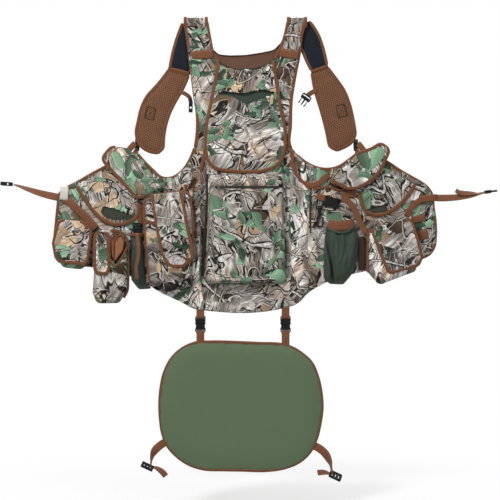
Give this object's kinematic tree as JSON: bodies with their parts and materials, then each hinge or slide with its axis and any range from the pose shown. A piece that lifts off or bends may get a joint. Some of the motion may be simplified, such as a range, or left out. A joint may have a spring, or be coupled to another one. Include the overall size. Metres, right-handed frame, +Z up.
{
  "type": "turkey hunting vest",
  "caption": "Hunting vest laid open: padded back with game pocket, two hip wings with flapped pockets, padded shoulder straps and a clip-on fold-down seat cushion.",
  "frame": {"origin": "centre of the back at belt height, on the inner face of the lining", "axes": "+Z up towards the shoulders, +Y out of the lining towards the wearer, +X across the back; the outer, pocketed side faces -Y"},
  "size_m": [1.2388, 0.0706, 1.1544],
  "materials": {
    "camo_cloth": "matt brushed polyester with a printed woodland pattern",
    "brown_mesh_cloth": "open brown spacer mesh",
    "brown_cloth": "plain brown woven nylon",
    "binding_tape": "ribbed brown binding tape, sewn over the edges",
    "webbing": "brown ribbed nylon webbing",
    "dark_green_cloth": "dark green stretch cloth",
    "seat_cloth": "olive green coated nylon, slightly soft sheen",
    "foam": "closed cell foam, hidden",
    "navy_cloth": "near-black navy webbing cloth",
    "black_plastic": "moulded black acetal",
    "zip_tape": "coil zip on a dark tape",
    "zip_metal": "dark coated zip slider"
  },
  "bodies": {
    "back": {"back_panel": "camo_cloth", "back_lining": "brown_mesh_cloth", "yoke_lining": "brown_cloth", "back_binding": "binding_tape", "upper_pouch": "camo_cloth", "upper_pouch_lining": "dark_green_cloth", "game_pocket": "camo_cloth", "game_pocket_zip": "zip_tape", "back_webbing": "webbing"},
    "zip_slider": {"zip_slider": "zip_metal"},
    "left_wing": {"left_wing_panel": "camo_cloth", "left_wing_lining": "brown_mesh_cloth", "left_wing_binding": "binding_tape", "left_upper_pocket": "camo_cloth", "left_mesh_pocket": "camo_cloth", "left_mesh_window": "dark_green_cloth", "left_square_pocket": "camo_cloth", "call_pocket": "camo_cloth", "call_dividers": "brown_cloth", "left_bottle_pouch": "dark_green_cloth", "left_tall_pocket": "camo_cloth", "left_webbing": "webbing", "left_stow_buckle": "black_plastic"},
    "left_upper_flap": {"left_upper_flap": "camo_cloth"},
    "left_square_flap": {"left_square_flap": "camo_cloth"},
    "call_flap": {"call_flap": "camo_cloth"},
    "left_tall_flap": {"left_tall_flap": "camo_cloth"},
    "left_belt": {"left_belt_strap": "webbing", "left_belt_buckle": "black_plastic"},
    "left_strap": {"left_strap_liner": "navy_cloth", "left_strap_pad": "brown_mesh_cloth", "left_ladder_lock": "black_plastic"},
    "right_wing": {"right_wing_panel": "camo_cloth", "right_wing_lining": "brown_mesh_cloth", "right_wing_binding": "binding_tape", "right_upper_pocket": "camo_cloth", "right_mesh_pocket": "camo_cloth", "right_mesh_window": "dark_green_cloth", "right_square_pocket": "camo_cloth", "right_bottle_pouch": "dark_green_cloth", "right_webbing": "webbing", "right_stow_buckle": "black_plastic"},
    "swivel_snap": {"swivel_snap": "black_plastic"},
    "right_upper_flap": {"right_upper_flap": "camo_cloth"},
    "right_square_flap": {"right_square_flap": "camo_cloth"},
    "right_belt": {"right_belt_strap": "webbing", "right_belt_buckle": "black_plastic"},
    "right_strap": {"right_strap_liner": "navy_cloth", "right_strap_pad": "brown_mesh_cloth", "right_ladder_lock": "black_plastic"},
    "seat_hanger": {"seat_hanger_webbing": "webbing", "seat_male_buckles": "black_plastic"},
    "seat_clips": {"seat_female_buckles": "black_plastic"},
    "seat": {"seat_webbing": "webbing", "seat_cover_front": "seat_cloth", "seat_cover_back": "seat_cloth", "seat_foam": "foam", "seat_binding": "binding_tape", "corner_webbing": "webbing", "corner_buckles": "black_plastic"}
  },
  "joints": [
    {"name": "left_wing_fold", "type": "hinge", "parent": "back", "child": "left_wing", "pos_m": [-0.13, 0.0007, -0.06], "axis": [0, 0, -1], "range_deg": [0, 90]},
    {"name": "right_wing_fold", "type": "hinge", "parent": "back", "child": "right_wing", "pos_m": [0.13, 0.0007, -0.06], "axis": [0, 0, 1], "range_deg": [0, 90]},
    {"name": "left_strap_swing", "type": "hinge", "parent": "back", "child": "left_strap", "pos_m": [-0.097, 0.006, 0.441], "axis": [0.6627, -0.6446, -0.3811], "range_deg": [0, 38.03]},
    {"name": "right_strap_swing", "type": "hinge", "parent": "back", "child": "right_strap", "pos_m": [0.101, 0.006, 0.441], "axis": [0.6676, 0.6441, 0.3733], "range_deg": [0, 38.75]},
    {"name": "left_upper_flap_open", "type": "hinge", "parent": "left_wing", "child": "left_upper_flap", "pos_m": [-0.24938, -0.0247, 0.07187], "axis": [0.6674, 0, -0.7447], "range_deg": [-110, 0]},
    {"name": "left_square_flap_open", "type": "hinge", "parent": "left_wing", "child": "left_square_flap", "pos_m": [-0.4325, -0.0327, -0.05875], "axis": [0.9971, 0, -0.0767], "range_deg": [-110, 0]},
    {"name": "call_flap_open", "type": "hinge", "parent": "left_wing", "child": "call_flap", "pos_m": [-0.35687, -0.0377, -0.08762], "axis": [0.9995, 0, -0.0322], "range_deg": [-100, 0]},
    {"name": "left_tall_flap_open", "type": "hinge", "parent": "left_wing", "child": "left_tall_flap", "pos_m": [-0.19625, -0.0357, 0.00875], "axis": [0.995, 0, 0.0995], "range_deg": [-110, 0]},
    {"name": "right_upper_flap_open", "type": "hinge", "parent": "right_wing", "child": "right_upper_flap", "pos_m": [0.24438, -0.0247, 0.07437], "axis": [0.6944, 0, 0.7196], "range_deg": [-110, 0]},
    {"name": "right_square_flap_open", "type": "hinge", "parent": "right_wing", "child": "right_square_flap", "pos_m": [0.35813, -0.0327, -0.06563], "axis": [0.9601, 0, 0.2795], "range_deg": [-110, 0]},
    {"name": "zip_open", "type": "slide", "parent": "back", "child": "zip_slider", "axis": [1, 0, 0], "range_m": [0, 0.14]},
    {"name": "seat_hanger_fold", "type": "hinge", "parent": "back", "child": "seat_hanger", "pos_m": [0, -0.002, -0.283], "axis": [-1, 0, 0], "range_deg": [0, 90]},
    {"name": "seat_unclip", "type": "slide", "parent": "seat_hanger", "child": "seat_clips", "axis": [0, 0, 1], "range_m": [-0.034, 0]},
    {"name": "seat_tilt", "type": "hinge", "parent": "seat_clips", "child": "seat", "pos_m": [0, -0.002, -0.3375], "axis": [-1, 0, 0], "range_deg": [0, 90]},
    {"name": "left_belt_swing", "type": "hinge", "parent": "left_wing", "child": "left_belt", "pos_m": [-0.4754, -0.0028, -0.006], "axis": [0, 0, 1], "range_deg": [-30, 45]},
    {"name": "right_belt_swing", "type": "hinge", "parent": "right_wing", "child": "right_belt", "pos_m": [0.4755, -0.0028, -0.001], "axis": [0, 0, 1], "range_deg": [-45, 30]},
    {"name": "swivel_snap_swing", "type": "hinge", "parent": "right_wing", "child": "swivel_snap", "pos_m": [0.1825, -0.0104, -0.02], "axis": [0, 1, 0], "range_deg": [-5, 20]}
  ],
  "couplings": [
    {"joint": "left_strap_swing", "follows": "left_wing_fold", "ratio": 0.42233},
    {"joint": "right_strap_swing", "follows": "right_wing_fold", "ratio": 0.43037},
    {"joint": "seat_tilt", "follows": "seat_hanger_fold", "ratio": 1}
  ]
}
